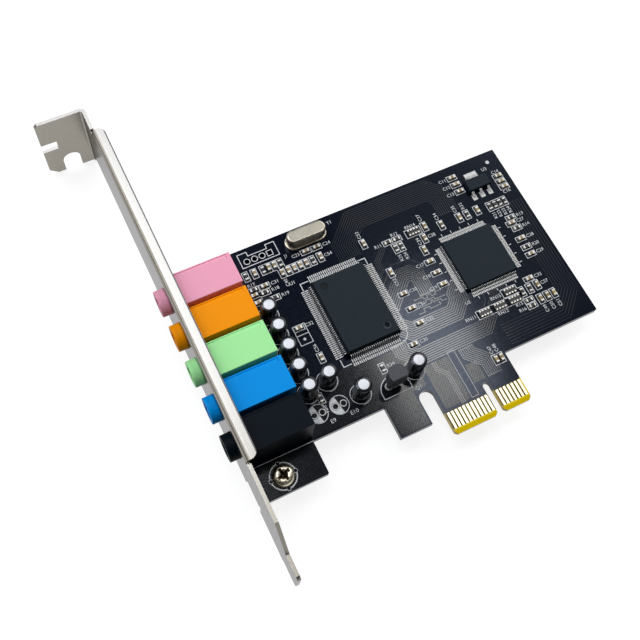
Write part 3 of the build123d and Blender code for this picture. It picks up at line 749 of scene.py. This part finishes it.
# Chip capacitors, resistors and resistor arrays: fired ceramic blocks with dipped ends, reflowed on pads.
# The capacitors are bare tan ceramic, the resistors black glaze on white.
chips, given = growing("chip_parts", Length="Float", Width="Float", Height="Float", End="Float",
                       Body="Material", Tip="Material")
both_ends = add(chips, "ShaderNodeMath", {0: given["End"], 1: 2.0}, operation="MULTIPLY")
inner = add(chips, "ShaderNodeMath", {0: given["Length"], 1: both_ends}, operation="SUBTRACT")
lift = add(chips, "ShaderNodeMath", {0: given["Height"], 1: 0.5}, operation="MULTIPLY")
raised = add(chips, "ShaderNodeCombineXYZ", {"Z": lift})
size = add(chips, "ShaderNodeCombineXYZ", {"X": inner, "Y": given["Width"], "Z": given["Height"]})
block = add(chips, "GeometryNodeMeshCube", {"Size": size})
body = add(chips, "GeometryNodeTransform",
           {"Geometry": block, "Translation": raised, "Scale": (1, 0.96, 0.96)})
shapes = [add(chips, "GeometryNodeSetMaterial", {"Geometry": body, "Material": given["Body"]})]
tip_size = add(chips, "ShaderNodeCombineXYZ",
               {"X": given["End"], "Y": given["Width"], "Z": given["Height"]})
tip = add(chips, "GeometryNodeMeshCube", {"Size": tip_size})
outer = add(chips, "ShaderNodeMath", {0: inner, 1: given["End"]}, operation="ADD")
wide = add(chips, "ShaderNodeMath", {0: given["Width"], 1: 0.72}, operation="MULTIPLY")
narrow = add(chips, "ShaderNodeMath", {0: given["Width"], 1: 0.5}, operation="MULTIPLY")
fillet = add(chips, "GeometryNodeMeshCone",
             {"Vertices": 4, "Radius Top": narrow, "Radius Bottom": wide, "Depth": lift})
for side in (-0.5, 0.5):
    x = add(chips, "ShaderNodeMath", {0: outer, 1: side}, operation="MULTIPLY")
    at = add(chips, "ShaderNodeCombineXYZ", {"X": x, "Z": lift})
    base = add(chips, "ShaderNodeCombineXYZ", {"X": x})
    cap = add(chips, "GeometryNodeTransform", {"Geometry": tip, "Translation": at})
    foot = add(chips, "GeometryNodeTransform",
               {"Geometry": fillet, "Translation": base, "Rotation": (0, 0, math.radians(45)),
                "Scale": (0.85, 1, 1)})
    ends = add(chips, "GeometryNodeJoinGeometry", {"Geometry": [cap, foot]})
    shapes.append(add(chips, "GeometryNodeSetMaterial", {"Geometry": ends, "Material": given["Tip"]}))
joined = add(chips, "GeometryNodeJoinGeometry", {"Geometry": shapes})
close_tree(chips, given, joined)

# Reflowed solder: melted once more on the pads, so brighter than the levelled kind
solder = finish("reflowed_solder", ["A8A69F", "C8C6BF"], 0.5, (0.36, 0.52), 0.006, Metallic=1.0)
# Fired titanate ceramic: beige to olive brown, satin, no two alike
tan_ceramic = finish("tan_ceramic", ["5E4E33", "8F7A52", "B5A27A"], 3.0, (0.35, 0.5), Specular_IOR_Level=0.4)
# Black glaze over a printed resistor: glossy, with a soft edge
glaze = finish("black_glaze", ["17181A"], 0.4, (0.25, 0.35), 0.004, Specular_IOR_Level=0.4)
for node, slot, body_finish, end in [("chip_capacitors", "ceramic_tan", tan_ceramic, 0.42),
                                     ("chip_resistors", "resistor_black", glaze, 0.34)]:
    places = []
    for low, high in boxes_of(node):
        size, middle = high - low, (low + high) / 2
        places.append((middle.x, middle.y, low.z, 0 if size.x > size.y else 90))
    mesh = grown(f"{node}_on_pads", chips, places, Length=max(size.x, size.y), Width=min(size.x, size.y),
                 Height=size.z, End=end, Body=body_finish, Tip=solder)
    piece(f"{node}_on_pads", mesh, replaced=[node])
# An array is one glazed block with four resistors side by side, so it has four ends on each long side
array_pitch = 0.8
places = []
for low, high in boxes_of("resistor_arrays"):
    middle = (low + high) / 2
    places += [(middle.x + array_pitch * (n - 1.5), middle.y, low.z, 90) for n in range(4)]
mesh = grown("resistor_array_ends", chips, places, Length=high.y - low.y + 0.04, Width=0.46,
             Height=high.z - low.z + 0.02, End=0.4, Body=glaze, Tip=solder)
piece("resistor_array_ends", mesh)
coat(glaze, "resistor_arrays")


# Voltage regulator: a moulded body with three legs on one side and a wide cooling tab on the other.
# The tab and legs are one tinned copper frame, cut apart after moulding.
piece("regulator_case", softened("regulator_body", 0.15), [epoxy], ["regulator_body"])
# Tin that flowed with the solder: nearly white, dull enough to catch light from a wide angle
flowed_tin = finish("flowed_tin", ["E4E4E1", "F4F4F2"], 0.8, (0.44, 0.54), 0.004, Metallic=1.0)
piece("regulator_frame", softened("regulator_leads", 0.06), [flowed_tin], ["regulator_leads"])


# Transistor: a small moulded body with one flat side, on three thin legs through the board.
# Its epoxy is greyer than the chips', with a dull bloom.
grey_epoxy = finish("moulded_epoxy_grey", ["3E4043", "4C4E52"], 0.5, (0.4, 0.55), 0.004,
                    Specular_IOR_Level=0.2)
piece("transistor_case", softened("transistor_body", 0.2), [grey_epoxy], ["transistor_body"])
coat(tin, "transistor_leads")


# Crystal: a flat-topped can drawn from nickel silver, welded by its rim to a base with two leads.
# The can's edges are well rounded, and the weld leaves a thin flange.
def obround(length, width, profile, x, y, z, count=14):
    """A closed mesh with round ends, from points of inset and height in mm, lowest first."""
    reach = (length - width) / 2
    levels = []
    for inset, height in profile:
        radius = width / 2 - inset
        outline = arc(x + reach, y, radius, -90, 90, count) + arc(x - reach, y, radius, 90, 270, count)
        levels.append((outline, z + height))
    shape, rings = stacked(levels)
    shape.faces.new(rings[0][::-1])
    shape.faces.new(rings[-1])
    return meshed(shape)


# Nickel silver, drawn and barrel polished: warm grey with soft reflections
drawn_can = finish("drawn_nickel_silver", ["ADA796", "BAB4A4"], 9.0, (0.24, 0.3), Metallic=1.0)
for node, rounding in [("crystal_base", 0.26), ("crystal_can", 0.45)]:
    low, high = box_of(node)
    size, middle = high - low, (low + high) / 2
    profile = [(0, 0), (0, size.z - rounding)]
    for step in range(1, 6):
        turn = math.radians(18 * step)
        profile.append((rounding * (1 - math.cos(turn)), size.z - rounding * (1 - math.sin(turn))))
    mesh = obround(size.x, size.y, profile, middle.x, middle.y, low.z)
    piece(node + "_drawn", mesh, [drawn_can], [node])
coat(tin, "crystal_leads")


# Electrolytic capacitors: aluminium cans in shrunk black sleeves, open at the top, rolled in near the bung.
# A grey stripe down the sleeve marks the negative lead.
# Shrunk vinyl: black, glossy, a little wavy
sleeve = finish("shrunk_vinyl", ["0B0D12"], 1.5, (0.16, 0.26), 0.01, Specular_IOR_Level=0.35)
stripe = finish("printed_stripe", ["5A5E64"], 1.5, (0.25, 0.35), Specular_IOR_Level=0.3)
# Bare aluminium, pressed: white and satin
aluminium = finish("pressed_aluminium", ["C6C7CA"], 0.5, (0.5, 0.62), Metallic=1.0)
# Inset and height of the can's side, from the bottom up to the roll, and from the top down to the bare end
rolled_foot = [(0.4, 0.0), (0.12, 0.1), (0, 0.3), (0, 0.9), (0.14, 1.1), (0.14, 1.35), (0, 1.6)]
shrunk_rim = [(0, 0.5), (0.08, 0.22), (0.3, 0.05), (0.56, 0), (0.72, 0.04), (0.74, 0.12), (0.9, 0.1)]
for n in range(1, 9):
    low, high = box_of(f"capacitor_{n}")
    radius, height = (high.y - low.y) / 2, high.z - low.z
    x, y = (low.x + high.x) / 2, (low.y + high.y) / 2
    profile = [(0, 0.02)] + [(radius - inset, rise) for inset, rise in rolled_foot]
    profile += [(radius - inset, height - drop) for inset, drop in shrunk_rim] + [(0, height - 0.08)]
    mesh = turned(profile, x, y, low.z, 40)
    for side in mesh.polygons:
        middle = side.center / mm - Vector((x, y, low.z))
        if middle.z > height - 0.125 and math.hypot(middle.x, middle.y) < radius - 0.73:
            side.material_index = 2
        elif middle.z > 0.3 and abs(math.degrees(math.atan2(middle.y, -middle.x))) < 15:
            side.material_index = 1
    piece(f"capacitor_{n}_sleeved", mesh, [sleeve, stripe, aluminium], [f"capacitor_{n}"])
coat(tin, "capacitor_leads")


# Stereo jacks: housings moulded in a colour for each use, with a barrel that goes through the bracket.
# A fine joint near one long edge and a short one across it show where the lid is snapped in.
def block_mesh(low, high):
    """A box between two corners, in mm."""
    shape = bmesh.new()
    bmesh.ops.create_cube(shape, size=mm)
    bmesh.ops.scale(shape, verts=shape.verts, vec=high - low)
    bmesh.ops.translate(shape, verts=shape.verts, vec=(low + high) / 2 * mm)
    return meshed(shape)


joint_width, joint_depth, lid_edge = 0.14, 0.25, 0.32
for name, slot, base in jacks:
    node = f"{name}_jack_housing"
    low, high = box_of(node)
    joint = high.y - lid_edge
    stop = high.x - 0.9
    groove, above = high.z - joint_depth, high.z + 1
    along = block_mesh(Vector((low.x + 2.5, joint - joint_width, groove)), Vector((stop, joint, above)))
    across = block_mesh(Vector((stop - joint_width, joint - 0.9, groove)),
                        Vector((stop, joint + 0.02, above)))
    # Moulded thermoplastic: even colour, satin, with a fine grain that the mould was spark-eroded to
    plastic = finish(f"{slot.removeprefix('jack_')}_thermoplastic", [base], 0.28, (0.42, 0.55), 0.004,
                     Specular_IOR_Level=0.06)
    mesh = sink(softened(node, 0.16, 40), along, across)
    piece(f"{name}_jack_moulding", mesh, [plastic], [node])
# Bronze strip with a thin flash of tin: pale brass colour, satin
bronze = finish("tinned_bronze", ["B3A47E", "CFC3A0"], 0.6, (0.28, 0.4), Metallic=1.0)
coat(bronze, *springs)


# Solder joints: a cone of solder wicks up each lead that comes through the board.
# It is widest on the ring and narrows towards the end of the lead.
joints, given = growing("solder_joints", Radius="Float", Neck="Float", Rise="Float", Finish="Material")
cone = add(joints, "GeometryNodeMeshCone",
           {"Vertices": 14, "Side Segments": 4, "Radius Top": given["Neck"], "Radius Bottom": given["Radius"],
            "Depth": given["Rise"]})
tipped = add(joints, "GeometryNodeTransform", {"Geometry": cone, "Rotation": (math.pi, 0, 0)})
smooth = add(joints, "GeometryNodeSetShadeSmooth", {"Geometry": tipped})
close_tree(joints, given, smooth)
places = [(x, y, back, 0) for x, y in wired_holes]
mesh = grown("solder_joints", joints, places, Radius=0.95, Neck=0.4, Rise=1.0, Finish=solder)
piece("solder_joints", mesh)


# Slot bracket: one strip of sheet steel, punched, folded and plated with nickel.
# The flange faces the light and is nearly white. The plate is satin, with faint lines along it from rolling.
# Along the flange's free edge a darker line is painted shade, standing for the edge in shadow, drawn wider
# than it is so that it shows.
nickel = finish("nickel_on_rolled_steel", [], 0.35, (0.22, 0.28), 0.0, (1, 0.06, 1), Metallic=1.0,
                Specular_Tint=colour("D6D6DA"))
edge_shade_width = 0.3
flange_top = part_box("bracket")[1].z
corners = [vert.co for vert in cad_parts["bracket"].data.vertices]
free_edge = max(corner.x for corner in corners if corner.z > flange_top - 0.1 * mm)
tree = nickel.node_tree
spot = add(tree, "ShaderNodeTexCoord", {}).outputs["Object"]
axes = add(tree, "ShaderNodeSeparateXYZ", {"Vector": spot}).outputs
edge_shade_bounds = []
for axis, limit in [("X", free_edge - edge_shade_width * mm), ("Z", flange_top - 0.5 * mm)]:
    edge_shade_bounds.append(add(tree, "ShaderNodeMath", {0: axes[axis], 1: limit}, operation="GREATER_THAN"))
# The painted shade: a line along the flange's free edge, on the flange only
line = add(tree, "ShaderNodeMath", {0: edge_shade_bounds[0], 1: edge_shade_bounds[1]}, operation="MULTIPLY")
rolled = add(tree, "ShaderNodeMath", {0: tree.nodes["spots"], 1: 0.5, 2: 0.15}, operation="MULTIPLY_ADD")
# Faint rolling lines and the painted shade along the edge, in one factor for the colours
rolling_and_edge_shade = add(tree, "ShaderNodeMath", {0: rolled, 1: line}, operation="MAXIMUM")
tint(tree, rolling_and_edge_shade, ["918D84", "9F9B92", "4A4845"])
piece("bracket_plated", softened("bracket", 0.18, 40), [nickel], ["bracket"])


# Screw: a pan head with a cross recess, cold formed in steel and nickel plated.
# It goes through the board's foot into the bracket's ear.
screw_nickel = finish("nickel_on_steel", ["CBC1A6", "E4DDC9"], 0.5, (0.24, 0.34), 0.002, Metallic=1.0)
# The recess is painted darker, as painted shade down in it
recess_painted_shade = finish("nickel_in_recess_painted_shade", ["5E5442"], 0.5, (0.4, 0.5), 0.002, Metallic=1.0)
head_radius = (screw_high.x - screw_low.x) / 2
head_height, head_wall = screw_high.z - face, 0.55
profile = [(0, screw_low.z - face), (1.1, screw_low.z - face), (1.42, screw_low.z - face + 0.4), (1.42, 0.02),
           (head_radius - 0.1, 0.02), (head_radius, 0.15), (head_radius, head_wall)]
for step in range(1, 7):
    turn = math.radians(15 * step)
    rise = head_wall + (head_height - head_wall) * math.sin(turn)
    profile.append((head_radius * (1 - 0.45 * (1 - math.cos(turn))), rise))
profile.append((0, head_height))
cutters = []
for turn in (20, 110):
    shape = bmesh.new()
    bmesh.ops.create_cone(shape, cap_ends=True, segments=4, radius1=0.08 * mm, radius2=0.75 * mm,
                          depth=1.9 * mm)
    bmesh.ops.rotate(shape, verts=shape.verts, matrix=Matrix.Rotation(math.radians(45), 3, "Z"))
    bmesh.ops.scale(shape, verts=shape.verts, vec=(4.0, 0.85, 1))
    bmesh.ops.rotate(shape, verts=shape.verts, matrix=Matrix.Rotation(math.radians(turn), 3, "Z"))
    bmesh.ops.translate(shape, verts=shape.verts, vec=Vector((screw_x, screw_y, screw_high.z - 0.55)) * mm)
    # Faces of the recess take the painted shade
    for side in shape.faces:
        side.material_index = 1
    cutters.append(meshed(shape))
mesh = sink(turned(profile, screw_x, screw_y, face, 40), *cutters, angle=50)
piece("screw_pan_head", mesh, [screw_nickel, recess_painted_shade], ["bracket_screw"])


# Stage: a white floor, a room with soft panels, and a camera as in the photograph.
# A key panel stands far right, a broad one hangs behind the bracket, and small ones hang where the board, the
# flange and the tail mirror them to the camera.
floor_level = cad_box[0].z - 0.0003
mesh = bpy.data.meshes.new("floor")
mesh.from_pydata([(x, y, floor_level) for x, y in rectangle(-2, -2, 2, 2)], [], [(0, 1, 2, 3)])
floor = put("floor", mesh)
paper = bpy.data.materials.new("white_paper")
paper.use_nodes = True
tree = paper.node_tree
tree.nodes.remove(tree.nodes["Principled BSDF"])
matt = add(tree, "ShaderNodeBsdfDiffuse", {"Color": colour("8C8C8C")})
glow = add(tree, "ShaderNodeEmission", {"Color": colour("FFFFFF"), "Strength": 0.84})
lit = add(tree, "ShaderNodeAddShader", {0: matt, 1: glow})
rays = add(tree, "ShaderNodeLightPath", {}).outputs
seen = add(tree, "ShaderNodeMath", {0: rays["Is Camera Ray"], 1: rays["Is Glossy Ray"]}, operation="MAXIMUM")
seen = add(tree, "ShaderNodeMath", {0: seen, 1: rays["Is Transmission Ray"]}, operation="MAXIMUM")
shown = add(tree, "ShaderNodeMixShader", {0: seen, 1: matt, 2: lit})
tree.links.new(shown.outputs["Shader"], tree.nodes["Material Output"].inputs["Surface"])
mesh.materials.append(paper)

world = bpy.data.worlds.new("grey_room")
bpy.context.scene.world = world
world.use_nodes = True
tree = world.node_tree
direct = add(tree, "ShaderNodeLightPath", {}).outputs["Is Camera Ray"]
strength = add(tree, "ShaderNodeMath", {0: direct, 1: 0.86, 2: 0.14}, operation="MULTIPLY_ADD")
tree.nodes["Background"].inputs["Color"].default_value = colour("FFFFFF")
tree.links.new(strength.outputs[0], tree.nodes["Background"].inputs["Strength"])


def panel(name, place, width, height, brightness, shade="FFFFFF", aim=None):
    """A soft lamp, sizes in metres, as bright as a white wall times its brightness, level or aimed."""
    lamp = bpy.data.lights.new(name, "AREA")
    lamp.shape, lamp.size, lamp.size_y = "RECTANGLE", width, height
    lamp.energy = brightness * math.pi * width * height
    lamp.color = colour(shade)[:3]
    holder = put(name, lamp)
    holder.location = place
    way = Vector(aim or (*place[:2], 0)) - Vector(place)
    holder.rotation_euler = way.to_track_quat("-Z", "Y").to_euler()
    holder.visible_camera = False


daylight = "EBF1FF"
panel("key_panel", (0.75, 0.53, 0.64), 0.8, 0.6, 3.0, aim=(-0.01, 0.04, 0.0))
panel("overhead_panel", (-0.175, 0.395, 0.65), 0.46, 0.46, 3.4, daylight)
panel("gloss_panel", (0.098, 0.098, 0.30), 0.062, 0.084, 9.6)
panel("ceiling_panel", (0.15, 0.16, 0.302), 0.12, 0.16, 0.5)
panel("flange_panel", (-0.038, 0.2125, 0.30), 0.05, 0.265, 2.1, daylight)
panel("tail_panel", (-0.058, 0.035, 0.30), 0.046, 0.09, 4.5)
panel("side_panel", (-0.42, 0.32, 0.42), 0.5, 0.7, 1.2, aim=(-0.06, 0.06, 0.0))

camera = bpy.data.cameras.new("camera")
camera.lens = 50.13
camera.sensor_width = 36.0
camera.shift_x, camera.shift_y = 0.001, -0.0062
camera.clip_start = 0.01
holder = put("camera", camera)
holder.location = (-0.07657, -0.02962, 0.19337)
holder.rotation_euler = [math.radians(turn) for turn in (23.341, -3.998, -26.363)]
bpy.context.scene.camera = holder
bpy.context.scene.view_settings.view_transform = "Standard"
